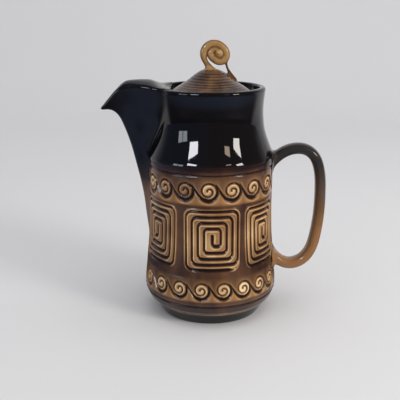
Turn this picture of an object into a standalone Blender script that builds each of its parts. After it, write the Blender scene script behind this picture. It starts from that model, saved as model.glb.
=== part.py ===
"""Coffee pot: a cast earthenware pot with a hooded beak spout, a strap handle and a lift-off lid.

Metres, +Z up. The spout points along -X and the handle along +X. Every piece stands on the pot's
own turning axis, which the empty pot_axis holds a little off the origin, so that the origin lies
under the middle of the whole object.
"""
import math

import bmesh
import bpy
from mathutils import Matrix, Vector

MM = 0.001
GAP = 0.3 * MM                     # room between two pieces that touch

# Pot: outside, as a radius from the axis and a height above the table
RIM_HEIGHT = 197 * MM
LIP_RADIUS = 45.6 * MM
NECK_RADIUS = 44.2 * MM
NECK_HEIGHT = 177 * MM             # where the neck is narrowest
SHOULDER_RADIUS = 53.9 * MM
SHOULDER_HEIGHT = 140.5 * MM
WAIST_RADIUS = 53.3 * MM
WAIST_HEIGHT = 100 * MM
BELLY_RADIUS = 57.7 * MM           # the widest ring, low on the pot
BELLY_HEIGHT = 24 * MM
CREASE_RADIUS = 48 * MM            # where the belly meets the foot
CREASE_HEIGHT = 9.2 * MM
FOOT_OUTER = 43.6 * MM             # the flat ring that the pot stands on
FOOT_INNER = 37.5 * MM
FOOT_RECESS = 2.5 * MM

# Pot: inside
WALL = 5 * MM
FLOOR_HEIGHT = 7.5 * MM
FLOOR_RADIUS = 41 * MM
SEAT_RADIUS = 40.7 * MM            # the sunk ring that holds the lid's edge
SEAT_HEIGHT = 187 * MM
LEDGE_RADIUS = 34.8 * MM
LEDGE_DEPTH = 4.5 * MM
STRAINER_HOLE_RADIUS = 1.8 * MM
STRAINER_PITCH = 9 * MM
STRAINER_START = 128 * MM
STRAINER_ROWS = (1, 1, 2, 3, 3, 3)   # holes in each row, from the lowest up
STRAINER_SPREAD = 5.5 * MM          # between two holes of a row

# Lid and the coil on it
LID_APEX = 211.8 * MM
LID_RADIUS = 40.2 * MM
LID_EDGE_TOP = 189.4 * MM
LID_WALL = 4 * MM
FLANGE_OUTER = 34 * MM
FLANGE_INNER = 30.5 * MM
FLANGE_BOTTOM = 174 * MM
COIL_CENTRE = (5.5 * MM, 223.6 * MM)
COIL_OUTER = 11.3 * MM             # centreline radius at the left, where the coil begins
COIL_INNER = 1.6 * MM
COIL_TURNS = 1.55
COIL_STRAND = 2.6 * MM
COIL_END_STRAND = 1.9 * MM
TAIL_STRAND = 1.0 * MM

# Spout
SPOUT_REACH = 92.7 * MM            # from the axis to the tip of the beak
BEAK_TIP = (-SPOUT_REACH, 178.2 * MM)
HOOD_TIP = (-78.2 * MM, 196.4 * MM)
HOOD_HEIGHT = 202.5 * MM
HOOD_BACK = 42.4 * MM              # the hood reaches in over the rim to this radius
SPOUT_WALL = 4 * MM
KEEL_NOSE = 4.4 * MM               # rounding of the keel in plan
DUCT_NOSE = 2.5 * MM
ROOT_PLANE = -40 * MM              # the spout is shaped up to here, then cut back to the pot's wall

# Handle
HANDLE_REACH = 100.9 * MM
STRAP_HALF = 4.7 * MM              # half of the strap's thickness in the XZ plane
STRAP_RATIO = 1.55                 # the strap is this many times wider across than it is thick

AXIS_X = (SPOUT_REACH - HANDLE_REACH) / 2

# Facets
ROUND_STEPS = 48
HOLE_STEPS = 10
NOSE_STEPS = 4


def clear_scene():
    for old in list(bpy.data.objects):
        bpy.data.objects.remove(old, do_unlink=True)


def new_collection(name):
    group = bpy.data.collections.get(name) or bpy.data.collections.new(name)
    if group.name not in bpy.context.scene.collection.children:
        bpy.context.scene.collection.children.link(group)
    return group


def glaze(name, colour, roughness):
    paint = bpy.data.materials.new(name)
    paint.use_nodes = True
    shader = paint.node_tree.nodes["Principled BSDF"]
    shader.inputs["Base Color"].default_value = (*colour, 1.0)
    shader.inputs["Roughness"].default_value = roughness
    shader.inputs["Metallic"].default_value = 0.0
    return paint


def place(name, data, group, axis, paint=None):
    piece = bpy.data.objects.new(name, data)
    group.objects.link(piece)
    piece.parent = axis
    if paint:
        data.materials.append(paint)
    return piece


def as_cutter(piece):
    piece.hide_render = True
    piece.display_type = "WIRE"
    return piece


def smooth_line(points, steps):
    """Points on a Catmull-Rom curve through the given points, ends included."""
    knots = [Vector(p) for p in points]
    padded = [2 * knots[0] - knots[1]] + knots + [2 * knots[-1] - knots[-2]]
    line = []
    for before, start, end, after in zip(padded, padded[1:], padded[2:], padded[3:]):
        for step in range(steps):
            t = step / steps
            line.append(0.5 * (2 * start + (end - before) * t
                               + (2 * before - 5 * start + 4 * end - after) * t ** 2
                               + (3 * start - before - 3 * end + after) * t ** 3))
    line.append(knots[-1])
    return line


def arc(centre, radius, start, end, count):
    """Points on an arc in the profile plane, from angle start to angle end, in degrees."""
    points = []
    for step in range(count + 1):
        angle = math.radians(start + (end - start) * step / count)
        points.append(Vector((centre[0] + radius * math.cos(angle),
                              centre[1] + radius * math.sin(angle))))
    return points


def turned_mesh(name, profile, group, axis, paint=None):
    """A closed turned shape: the profile (radius, height) runs down its outer side."""
    mesh = bpy.data.meshes.new(name)
    points = [(p[0], 0.0, p[1]) for p in profile]
    mesh.from_pydata(points, [(i, i + 1) for i in range(len(points) - 1)], [])
    piece = place(name, mesh, group, axis, paint)
    screw = piece.modifiers.new("turn", "SCREW")
    screw.axis = "Z"
    screw.angle = 2 * math.pi
    screw.steps = ROUND_STEPS
    screw.render_steps = ROUND_STEPS
    screw.use_merge_vertices = True
    screw.merge_threshold = 0.00001
    screw.use_smooth_shade = True
    return piece


def cut(piece, cutter, operation="DIFFERENCE"):
    step = piece.modifiers.new(f"{operation.lower()} {cutter.name}", "BOOLEAN")
    step.operation = operation
    step.solver = "EXACT"
    step.object = cutter


def pot_outside(gap=0.0):
    """The outer side from the lip down to the foot's resting edge, moved out by a gap."""
    lip_round = 2.2 * MM
    lip = arc((LIP_RADIUS - lip_round, RIM_HEIGHT - lip_round), lip_round, 90, -10, 4)
    neck = smooth_line([(LIP_RADIUS - 0.5 * MM, RIM_HEIGHT - 5 * MM),
                        (NECK_RADIUS, NECK_HEIGHT),
                        (NECK_RADIUS + 2.2 * MM, NECK_HEIGHT - 16.5 * MM),
                        (SHOULDER_RADIUS - 2.6 * MM, SHOULDER_HEIGHT + 7.2 * MM)], 3)
    belly = smooth_line([(SHOULDER_RADIUS, SHOULDER_HEIGHT),
                         (WAIST_RADIUS, WAIST_HEIGHT + 20 * MM),
                         (WAIST_RADIUS + 0.1 * MM, WAIST_HEIGHT - 15 * MM),
                         (WAIST_RADIUS + 2 * MM, WAIST_HEIGHT - 43 * MM),
                         (BELLY_RADIUS, BELLY_HEIGHT)], 3)
    base = smooth_line([(BELLY_RADIUS - 1.3 * MM, BELLY_HEIGHT - 6.5 * MM),
                        (CREASE_RADIUS + 4.8 * MM, CREASE_HEIGHT + 5.2 * MM),
                        (CREASE_RADIUS, CREASE_HEIGHT)], 2)
    foot = [Vector((CREASE_RADIUS - 0.6 * MM, CREASE_HEIGHT - 2 * MM)),
            Vector((FOOT_OUTER + 2.2 * MM, 2.6 * MM)),
            Vector((FOOT_OUTER, 0))]
    return [p + Vector((gap, 0)) for p in lip + neck + belly + base + foot]


def pot_inside():
    """The inner side from the middle of the floor up to the lip."""
    floor = [Vector((0, FLOOR_HEIGHT)), Vector((FLOOR_RADIUS, FLOOR_HEIGHT))]
    belly = smooth_line([(BELLY_RADIUS - WALL - 2 * MM, BELLY_HEIGHT - 6 * MM),
                         (BELLY_RADIUS - WALL, BELLY_HEIGHT + 6 * MM),
                         (WAIST_RADIUS - WALL, WAIST_HEIGHT - 15 * MM),
                         (WAIST_RADIUS - WALL, WAIST_HEIGHT + 20 * MM),
                         (SHOULDER_RADIUS - WALL - 1.5 * MM, SHOULDER_HEIGHT)], 2)
    neck = smooth_line([(SHOULDER_RADIUS - WALL - 4.5 * MM, SHOULDER_HEIGHT + 9 * MM),
                        (NECK_RADIUS - WALL + 1.2 * MM, NECK_HEIGHT - 14 * MM),
                        (NECK_RADIUS - WALL, SEAT_HEIGHT - LEDGE_DEPTH - 5 * MM)], 2)
    ledge = [Vector((LEDGE_RADIUS, SEAT_HEIGHT - LEDGE_DEPTH)),
             Vector((LEDGE_RADIUS, SEAT_HEIGHT - 1 * MM)),
             Vector((LEDGE_RADIUS + 1 * MM, SEAT_HEIGHT)),
             Vector((SEAT_RADIUS, SEAT_HEIGHT)),
             Vector((SEAT_RADIUS + 0.3 * MM, RIM_HEIGHT - 2 * MM)),
             Vector((SEAT_RADIUS + 1.4 * MM, RIM_HEIGHT - 0.4 * MM))]
    return floor + belly + neck + ledge


def pot_clearance(name, cutters, axis):
    """A solid of the pot's outer shape and a gap, with a core that rises over the rim."""
    top = [Vector((0, HOOD_HEIGHT + 10 * MM)),
           Vector((HOOD_BACK, HOOD_HEIGHT + 10 * MM)),
           Vector((HOOD_BACK, RIM_HEIGHT + GAP)),
           Vector((LIP_RADIUS - 1.5 * MM, RIM_HEIGHT + GAP))]
    bottom = [Vector((FOOT_OUTER, -10 * MM)), Vector((0, -10 * MM))]
    return as_cutter(turned_mesh(name, top + pot_outside(GAP) + bottom, cutters, axis))


def strainer_cutter(cutters, axis):
    """Round holes through the wall behind the spout."""
    mesh = bpy.data.meshes.new("strainer_holes")
    shape = bmesh.new()
    length = 30 * MM
    for row, count in enumerate(STRAINER_ROWS):
        for column in range(count):
            across = (column - (count - 1) / 2) * STRAINER_SPREAD
            middle = Vector((-NECK_RADIUS - 4 * MM, across, STRAINER_START + row * STRAINER_PITCH))
            matrix = Matrix.Translation(middle) @ Matrix.Rotation(math.pi / 2, 4, "Y")
            bmesh.ops.create_cone(shape, cap_ends=True, segments=HOLE_STEPS,
                                  radius1=STRAINER_HOLE_RADIUS, radius2=STRAINER_HOLE_RADIUS,
                                  depth=length, matrix=matrix)
    shape.to_mesh(mesh)
    shape.free()
    return as_cutter(place("strainer_holes", mesh, cutters, axis))


def make_pot_body(parts, cutters, axis):
    underside = [Vector((FOOT_INNER, 0)),
                 Vector((FOOT_INNER - 1.5 * MM, FOOT_RECESS)),
                 Vector((0, FOOT_RECESS))]
    profile = pot_inside() + pot_outside() + underside
    paint = glaze("pot_glaze", (0.10, 0.055, 0.03), 0.12)
    body = turned_mesh("pot_body", profile, parts, axis, paint)
    cut(body, strainer_cutter(cutters, axis))


def spout_section(height, apex, half_root, nose):
    """One level outline of the spout: a round nose at the keel, then two arms to the pot."""
    nose = min(nose, 0.8 * half_root)
    lean = math.atan2(half_root - nose, ROOT_PLANE - (apex + nose))
    right = [Vector((ROOT_PLANE, half_root))]
    for step in range(NOSE_STEPS + 1):
        angle = math.pi / 2 + lean + (math.pi / 2 - lean) * step / NOSE_STEPS
        right.append(Vector((apex + nose + nose * math.cos(angle), nose * math.sin(angle))))
    outline = right + [Vector((p.x, -p.y)) for p in reversed(right[:-1])]
    return [Vector((p.x, p.y, height)) for p in outline]


def loft(name, rings, group, axis, paint=None):
    """A closed solid through rings of equally many points, listed from the bottom up."""
    mesh = bpy.data.meshes.new(name)
    shape = bmesh.new()
    rows = [[shape.verts.new(p) for p in ring] for ring in rings]
    count = len(rows[0])
    for low, high in zip(rows, rows[1:]):
        for i in range(count):
            j = (i + 1) % count
            shape.faces.new((low[i], low[j], high[j], high[i]))
    shape.faces.new(reversed(rows[0]))
    shape.faces.new(rows[-1])
    bmesh.ops.recalc_face_normals(shape, faces=shape.faces)
    bmesh.ops.triangulate(shape, faces=shape.faces)
    shape.to_mesh(mesh)
    shape.free()
    return place(name, mesh, group, axis, paint)


# Keel and width of the spout at each height, in millimetres: (height, keel from the axis,
# half width at the root plane, which lies inside the pot)
SPOUT_LEVELS = ((72, 53.0, 5.0), (86, 56.2, 7.6), (104, 58.8, 9.0), (122, 62.1, 9.6),
                (138, 66.2, 9.8), (150, 69.3, 11.8), (160, 72.6, 14.0), (167, 75.6, 15.9),
                (173, 79.4, 16.9), (176, 83.6, 17.3), (177.2, 91.2, 17.5), (179, 96.0, 17.8),
                (188, 96.0, 19.2), (196, 96.0, 20.3))
DUCT_LEVELS = ((118, 57.0, 5.0), (128, 59.4, 5.4), (138, 61.8, 5.6), (150, 65.0, 7.6),
               (160, 68.4, 9.8), (168, 72.0, 12.0), (175, 78.0, 13.2), (180, 89.0, 13.6),
               (182, 100.0, 13.9), (190, 100.0, 15.4), (194, 100.0, 15.9))
HOOD_STEPS = 4
HOOD_FRONT_EASE = 16 * MM          # how far the hood's nose draws back at its crest


def spout_rings(levels, crest, nose):
    """Level outlines up to the top of the walls, then a dome that closes them."""
    rings = [spout_section(z * MM, -keel * MM, half * MM, nose) for z, keel, half in levels]
    top, keel, half = (value * MM for value in levels[-1])
    for step in range(1, HOOD_STEPS + 1):
        angle = 0.5 * math.pi * step / (HOOD_STEPS + 0.5)
        height = top + (crest - top) * math.sin(angle)
        narrow = math.cos(angle)
        apex = -keel + HOOD_FRONT_EASE * (1 - narrow)
        rings.append(spout_section(height, apex, half * narrow, nose))
    return rings


def mouth_cutter(cutters, axis):
    """A block whose flat side lies on the slanted mouth of the beak."""
    size = 60 * MM
    slope = math.atan2(HOOD_TIP[1] - BEAK_TIP[1], HOOD_TIP[0] - BEAK_TIP[0])
    middle = Vector(((HOOD_TIP[0] + BEAK_TIP[0]) / 2, 0, (HOOD_TIP[1] + BEAK_TIP[1]) / 2))
    mesh = bpy.data.meshes.new("mouth_block")
    shape = bmesh.new()
    bmesh.ops.create_cube(shape, size=size, matrix=Matrix.Translation((0, 0, size / 2)))
    shape.to_mesh(mesh)
    shape.free()
    block = as_cutter(place("mouth_block", mesh, cutters, axis))
    block.location = middle
    block.rotation_euler = (0, -slope, 0)
    return block


def make_spout(parts, cutters, axis, clearance):
    paint = glaze("spout_glaze", (0.012, 0.013, 0.02), 0.1)
    spout = loft("spout", spout_rings(SPOUT_LEVELS, HOOD_HEIGHT, KEEL_NOSE), parts, axis, paint)
    duct = loft("spout_duct", spout_rings(DUCT_LEVELS, HOOD_HEIGHT - SPOUT_WALL, DUCT_NOSE),
                cutters, axis)
    cut(spout, as_cutter(duct))
    cut(spout, mouth_cutter(cutters, axis))
    cut(spout, clearance)


def tube_mesh(name, points, radii, depth, resolution):
    """A round tube with filled, welded ends along points, as a mesh."""
    curve = bpy.data.curves.new(name, "CURVE")
    curve.dimensions = "3D"
    curve.bevel_depth = depth
    curve.bevel_resolution = resolution
    curve.use_fill_caps = True
    spline = curve.splines.new("POLY")
    spline.points.add(len(points) - 1)
    for knot, point, radius in zip(spline.points, points, radii):
        knot.co = (*point, 1.0)
        knot.radius = radius
    guide = bpy.data.objects.new(name + "_guide", curve)
    bpy.context.scene.collection.objects.link(guide)
    view = bpy.context.evaluated_depsgraph_get()
    mesh = bpy.data.meshes.new_from_object(guide.evaluated_get(view))
    bpy.data.objects.remove(guide, do_unlink=True)
    shape = bmesh.new()
    shape.from_mesh(mesh)
    bmesh.ops.remove_doubles(shape, verts=shape.verts, dist=0.00001)
    bmesh.ops.recalc_face_normals(shape, faces=shape.faces)
    shape.to_mesh(mesh)
    shape.free()
    mesh.name = name
    return mesh


def make_handle(parts, axis, clearance):
    """An ear-shaped strap from the shoulder to low on the belly."""
    reach = HANDLE_REACH - STRAP_HALF
    route = [(47 * MM, 129 * MM), (54 * MM, 136 * MM), (64 * MM, 142 * MM), (76 * MM, 144.2 * MM),
             (87.5 * MM, 139 * MM), (94 * MM, 126 * MM), (reach, 103 * MM), (94.8 * MM, 79 * MM),
             (90 * MM, 57.5 * MM), (81 * MM, 43.4 * MM), (70 * MM, 39.6 * MM), (60 * MM, 44 * MM),
             (50 * MM, 54 * MM)]
    line = smooth_line(route, 3)
    root_flare = 0.75
    fade = 7
    radii = [1 + root_flare * max(0.0, 1 - step / fade) ** 2 for step in range(len(line))]
    radii = [max(a, 1 + (b - 1) * 0.6) for a, b in zip(radii, reversed(radii))]
    mesh = tube_mesh("handle", [(p.x, 0, p.y) for p in line], radii, STRAP_HALF, 3)
    mesh.transform(Matrix.Diagonal((1, STRAP_RATIO, 1, 1)))
    mesh.shade_smooth()
    handle = place("handle", mesh, parts, axis, glaze("handle_glaze", (0.16, 0.08, 0.035), 0.14))
    cut(handle, clearance)


def lid_outside(gap=0.0):
    """The lid's upper side from the apex out to the edge, lifted by a gap."""
    line = smooth_line([(0, LID_APEX), (8 * MM, LID_APEX - 1.8 * MM),
                        (14 * MM, LID_APEX - 5.2 * MM), (28.5 * MM, LID_APEX - 15.2 * MM),
                        (LID_RADIUS - 0.8 * MM, LID_EDGE_TOP)], 3)
    return [p + Vector((0, gap)) for p in line]


def make_lid(parts, axis):
    bottom = SEAT_HEIGHT + GAP
    inner = LID_RADIUS - 10 * MM
    profile = [Vector((0, LID_APEX - LID_WALL)), Vector((12 * MM, LID_APEX - LID_WALL - 4.5 * MM)),
               Vector((inner - 2 * MM, bottom + 3 * MM)), Vector((inner, bottom)),
               Vector((FLANGE_INNER, FLANGE_BOTTOM + 0.8 * MM)),
               Vector((FLANGE_INNER + 1 * MM, FLANGE_BOTTOM)),
               Vector((FLANGE_OUTER - 1 * MM, FLANGE_BOTTOM)),
               Vector((FLANGE_OUTER, FLANGE_BOTTOM + 1 * MM)),
               Vector((FLANGE_OUTER, bottom)),
               Vector((LID_RADIUS - 0.6 * MM, bottom)),
               Vector((LID_RADIUS, bottom + 0.6 * MM)),
               Vector((LID_RADIUS, LID_EDGE_TOP - 0.6 * MM))]
    profile += reversed(lid_outside())
    profile.reverse()
    turned_mesh("lid", profile, parts, axis, glaze("lid_glaze", (0.13, 0.07, 0.045), 0.15))


def coil_line():
    """The coil in the XZ plane: a foot on the lid, then a spiral that winds in clockwise."""
    steps_per_turn = 20
    steps = round(COIL_TURNS * steps_per_turn)
    line = [Vector((0.6 * MM, LID_APEX - 5 * MM)), Vector((-0.8 * MM, LID_APEX + 1.0 * MM)),
            Vector((-3.2 * MM, LID_APEX + 5 * MM))]
    start = math.radians(192)
    for step in range(steps + 1):
        share = step / steps
        angle = start - 2 * math.pi * COIL_TURNS * share
        radius = COIL_OUTER + (COIL_INNER - COIL_OUTER) * share ** 0.9
        line.append(Vector((COIL_CENTRE[0] + radius * math.cos(angle),
                            COIL_CENTRE[1] + 0.97 * radius * math.sin(angle))))
    return line


def make_finial(parts, cutters, axis):
    """The coiled knob, with a thin tail that runs down from its right side to the lid."""
    line = coil_line()
    last = len(line) - 1
    taper = COIL_END_STRAND / COIL_STRAND
    radii = [1 + (taper - 1) * step / last for step in range(last + 1)]
    mesh = tube_mesh("finial", [(p.x, 0, p.y) for p in line], radii, COIL_STRAND, 2)
    mesh.shade_smooth()
    finial = place("finial", mesh, parts, axis, glaze("finial_glaze", (0.30, 0.17, 0.07), 0.15))
    tail_line = smooth_line([(12.2 * MM, LID_APEX + 8.5 * MM), (12.6 * MM, LID_APEX + 2.5 * MM),
                             (16.4 * MM, LID_APEX - 4.5 * MM), (21 * MM, LID_APEX - 12 * MM)], 3)
    tail = tube_mesh("coil_tail", [(p.x, 0, p.y) for p in tail_line],
                     [1.0] * len(tail_line), TAIL_STRAND, 1)
    cut(finial, as_cutter(place("coil_tail", tail, cutters, axis)), "UNION")
    under = [Vector((LID_RADIUS, LID_EDGE_TOP - 15 * MM)), Vector((0, LID_EDGE_TOP - 15 * MM))]
    lid_clearance = turned_mesh("lid_clearance", lid_outside(GAP) + under, cutters, axis)
    cut(finial, as_cutter(lid_clearance))


def main():
    clear_scene()
    parts = new_collection("coffee_pot")
    cutters = new_collection("cutters")
    axis = bpy.data.objects.new("pot_axis", None)
    axis.location = (AXIS_X, 0, 0)
    parts.objects.link(axis)
    clearance = pot_clearance("pot_clearance", cutters, axis)
    make_pot_body(parts, cutters, axis)
    make_spout(parts, cutters, axis, clearance)
    make_handle(parts, axis, clearance)
    make_lid(parts, axis)
    make_finial(parts, cutters, axis)


main()
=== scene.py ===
"""Looks of the coffee pot: glazed earthenware with a moulded relief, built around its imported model.

Shapes are worked out in millimetres about the pot's own upright axis. The front is -Y, the spout
points along -X and the handle along +X. An angle round the pot is 0 at the front and grows
towards the handle.
"""
import itertools
import math

import bpy
import numpy as np
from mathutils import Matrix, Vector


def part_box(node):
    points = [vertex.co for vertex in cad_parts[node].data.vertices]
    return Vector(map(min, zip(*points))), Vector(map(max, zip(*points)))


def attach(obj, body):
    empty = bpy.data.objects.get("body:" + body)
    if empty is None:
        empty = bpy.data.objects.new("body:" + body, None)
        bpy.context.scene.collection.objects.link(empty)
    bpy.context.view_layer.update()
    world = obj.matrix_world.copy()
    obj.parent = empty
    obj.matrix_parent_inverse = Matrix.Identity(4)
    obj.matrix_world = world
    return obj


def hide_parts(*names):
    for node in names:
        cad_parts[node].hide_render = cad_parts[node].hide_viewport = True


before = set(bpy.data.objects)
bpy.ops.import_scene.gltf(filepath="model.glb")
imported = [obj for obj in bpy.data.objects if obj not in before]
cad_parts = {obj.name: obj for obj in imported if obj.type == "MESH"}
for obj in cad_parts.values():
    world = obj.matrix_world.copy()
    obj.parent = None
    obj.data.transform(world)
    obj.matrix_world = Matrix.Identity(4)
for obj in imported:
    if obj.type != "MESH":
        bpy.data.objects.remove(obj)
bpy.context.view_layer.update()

MM = 0.001

pot_low, pot_high = (np.array(corner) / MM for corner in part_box("pot_body"))
lid_low, lid_high = (np.array(corner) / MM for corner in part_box("lid"))
spout_low = np.array(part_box("spout")[0]) / MM
handle_high = np.array(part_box("handle")[1]) / MM
AXIS = np.array([(pot_low[0] + pot_high[0]) / 2, (pot_low[1] + pot_high[1]) / 2, 0.0])

# Pot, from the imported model's boxes
RIM = pot_high[2]
BELLY_RADIUS = (pot_high[0] - pot_low[0]) / 2
SPOUT_REACH = AXIS[0] - spout_low[0]
HANDLE_REACH = handle_high[0] - AXIS[0]
LID_RADIUS = (lid_high[0] - lid_low[0]) / 2
LID_APEX = lid_high[2]

# Pot, in millimetres
LIP_ROUND = 2.2
SEAT_RADIUS = 40.7                 # the sunk ring that the lid's edge stands in
SEAT_HEIGHT = 187.0
LEDGE_RADIUS = 34.8
LEDGE_HEIGHT = 182.5
WALL = 5.0
FOOT_RADIUS = 43.4
FOOT_INNER = 37.5
FOOT_RECESS = 2.5
CREASE = 10.8                      # height of the line between belly and foot
BASE_GROOVE = 21.0                 # height of the groove round the base
SHOULDER_GROOVE = 131.9
SHOULDER = 138.4                   # where the black neck starts

# Relief, in millimetres
COLUMNS = 720                      # points round the pot where the relief is
ROW = 0.55                         # height of one row of the relief
RELIEF_LOW = 14.0
RELIEF_HIGH = 138.5
GROOVE_DEPTH = 1.3
GROUND_DEPTH = 0.7
BAND_HIGH = 119.3                  # middle of the upper row of scrolls
BAND_LOW = 35.3                    # middle of the lower row
HIGH_EDGES = (106.0, 109.0, 127.6, 130.6)   # where the ground of the upper row rises and falls
LOW_EDGES = (24.5, 27.0, 43.6, 46.6)
LOW_SCROLL = 0.93                  # size of its scrolls against the upper ones
DISC_RADIUS = 6.6                  # of the raised eye of a scroll
# Square panels: middle in degrees and height, width against the front one, and handedness
PANELS = ((1.4, 78.6, 1.0, 1), (54.3, 78.6, 0.87, 1), (-55.4, 79.6, 0.93, -1))
# Pad under a square panel: half width, foot, top and corner
PAD_HALF, PAD_LOW, PAD_HIGH, PAD_CORNER = 23.8, -27.0, 25.7, 6.0

# Camera, in metres and degrees, and glaze
CAMERA_LENS = 63.36
CAMERA_SENSOR = 36.0
CAMERA_BACK = 0.5939
CAMERA_HEIGHT = 0.2670
CAMERA_PITCH = 15.92
CAMERA_YAW = 0.89
GLAZE_IOR = 1.55


# ---------------------------------------------------------------- curves and surfaces

class Spline:
    """A natural cubic spline through values y at rising places x; straight beyond its ends."""

    def __init__(self, x, y):
        self.x = np.asarray(x, float)
        self.y = np.asarray(y, float)
        count = len(self.x)
        gap = np.diff(self.x)
        slope = (np.diff(self.y, axis=0).T / gap).T
        matrix = np.eye(count)
        right = np.zeros_like(self.y)
        for i in range(1, count - 1):
            matrix[i, i - 1:i + 2] = gap[i - 1], 2 * (gap[i - 1] + gap[i]), gap[i]
            right[i] = 6 * (slope[i] - slope[i - 1])
        self.bend = np.linalg.solve(matrix, right)

    def _pieces(self, at):
        inside = np.clip(at, self.x[0], self.x[-1])
        i = np.clip(np.searchsorted(self.x, inside) - 1, 0, len(self.x) - 2)
        gap = self.x[i + 1] - self.x[i]
        b = (inside - self.x[i]) / gap
        if self.y.ndim > 1:
            gap, b = gap[..., None], b[..., None]
        return inside, i, gap, 1 - b, b

    def slope(self, at):
        _, i, gap, a, b = self._pieces(np.asarray(at, float))
        rise = (self.y[i + 1] - self.y[i]) / gap
        return rise + gap / 6 * ((3 * b ** 2 - 1) * self.bend[i + 1] - (3 * a ** 2 - 1) * self.bend[i])

    def curl(self, at):
        """The second derivative."""
        _, i, _, a, b = self._pieces(np.asarray(at, float))
        return a * self.bend[i] + b * self.bend[i + 1]

    def __call__(self, at):
        at = np.asarray(at, float)
        inside, i, gap, a, b = self._pieces(at)
        value = a * self.y[i] + b * self.y[i + 1]
        value = value + gap ** 2 / 6 * ((a ** 3 - a) * self.bend[i] + (b ** 3 - b) * self.bend[i + 1])
        past = at - inside
        if self.y.ndim > 1:
            past = past[..., None]
        return value + past * self.slope(inside)


class Path:
    """A smooth line through points, with a radius at each of them."""

    def __init__(self, points, radii):
        points = np.asarray(points, float)
        steps = np.linalg.norm(np.diff(points, axis=0), axis=1)
        along = np.concatenate(([0.0], np.cumsum(steps)))
        self.length = along[-1]
        self.line = Spline(along, points)
        self.radius = Spline(along, np.asarray(radii, float))

    def nearest(self, points, samples=120):
        """Place along the line and offset from it of the nearest point of the line."""
        places = np.linspace(0, self.length, samples)
        marks = self.line(places)
        weight = (marks ** 2).sum(1)
        along = places[np.argmin(weight - 2 * points @ marks.T, axis=1)]
        for _ in range(4):
            way = self.line.slope(along)
            offset = points - self.line(along)
            speed = (way ** 2).sum(-1)
            steep = np.maximum(speed - (offset * self.line.curl(along)).sum(-1), 0.25 * speed)
            step = (offset * way).sum(-1) / steep
            along = np.clip(along + step, 0, self.length)
        return along, points - self.line(along)


def smooth_min(a, b, reach):
    """The lower of two values, with a round corner where they meet."""
    share = np.clip(0.5 + 0.5 * (b - a) / reach, 0, 1)
    return b + (a - b) * share - reach * share * (1 - share)


def smooth_max(a, b, reach):
    return -smooth_min(-a, -b, reach)


def ramp(value, low, high):
    """0 below low, 1 above high, and smooth between."""
    share = np.clip((value - low) / (high - low), 0, 1)
    return share * share * (3 - 2 * share)


def between(value, low, low_full, high_full, high):
    """1 from low_full to high_full, 0 outside low and high, and smooth between."""
    return ramp(value, low, low_full) * (1 - ramp(value, high_full, high))


def gradient(field, points, reach=0.04):
    """The field's slope at points, by central differences."""
    columns = []
    for axis in range(3):
        step = np.zeros(3)
        step[axis] = reach
        columns.append((field(points + step) - field(points - step)) / (2 * reach))
    return np.stack(columns, axis=1)


def cut_cells(inside):
    """Number of each grid cell that the surface passes through, -1 for the others, and their count."""
    cells = tuple(n - 1 for n in inside.shape)
    corners = np.zeros(cells, np.int8)
    for i, j, k in itertools.product((0, 1), repeat=3):
        corners += inside[i:cells[0] + i, j:cells[1] + j, k:cells[2] + k]
    mixed = (corners > 0) & (corners < 8)
    index = np.full(cells, -1)
    index[mixed] = np.arange(mixed.sum())
    return index, mixed.sum()


def cut_edges(inside, axis):
    """Lower ends of the grid edges along an axis that the surface cuts, away from the grid's sides."""
    count = inside.shape[axis]
    near = np.take(inside, range(count - 1), axis)
    far = np.take(inside, range(1, count), axis)
    low = np.argwhere(near != far)
    for other in ((axis + 1) % 3, (axis + 2) % 3):
        low = low[(low[:, other] > 0) & (low[:, other] < inside.shape[other] - 1)]
    return low


def crossings(values):
    """Quads and vertex places, in grid steps, of the surface where values change sign."""
    inside = values < 0
    index, count = cut_cells(inside)
    total = np.zeros((count, 3))
    hits = np.zeros(count)
    quads = []
    for axis in range(3):
        low = cut_edges(inside, axis)
        high = low.copy()
        high[:, axis] += 1
        start = values[tuple(low.T)]
        end = values[tuple(high.T)]
        place = low.astype(float)
        place[:, axis] += start / (start - end)
        ring = []
        for back_u, back_v in ((0, 0), (1, 0), (1, 1), (0, 1)):
            cell = low.copy()
            cell[:, (axis + 1) % 3] -= back_u
            cell[:, (axis + 2) % 3] -= back_v
            corner = index[tuple(cell.T)]
            np.add.at(total, corner, place)
            np.add.at(hits, corner, 1)
            ring.append(corner)
        quad = np.stack(ring, axis=1)
        outward = start < 0
        quads.append(quad[outward])
        quads.append(quad[~outward][:, ::-1])
    return total / hits[:, None], np.concatenate(quads)


def relax(points, quads):
    """Moves each point half way to the middle of its neighbours."""
    total = np.zeros_like(points)
    hits = np.zeros(len(points))
    for side in range(4):
        a, b = quads[:, side], quads[:, (side + 1) % 4]
        for axis in range(3):
            total[:, axis] += np.bincount(a, points[b, axis], len(points))
            total[:, axis] += np.bincount(b, points[a, axis], len(points))
        hits += np.bincount(a, minlength=len(points)) + np.bincount(b, minlength=len(points))
    return 0.5 * points + 0.5 * total / hits[:, None]


def settle(field, points, cell, rounds):
    """Moves points along the field's slope onto its zero surface."""
    reach = 0.05
    for _ in range(rounds):
        here = field(points)
        columns = []
        for axis in range(3):
            step = np.zeros(3)
            step[axis] = reach
            columns.append((field(points + step) - here) / reach)
        slope = np.stack(columns, axis=1)
        size = np.maximum((slope ** 2).sum(1), 0.05)
        step = slope * (here / size)[:, None]
        length = np.linalg.norm(step, axis=1)
        points = points - step * np.minimum(1, cell / np.maximum(length, 1e-9))[:, None]
    return points


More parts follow.
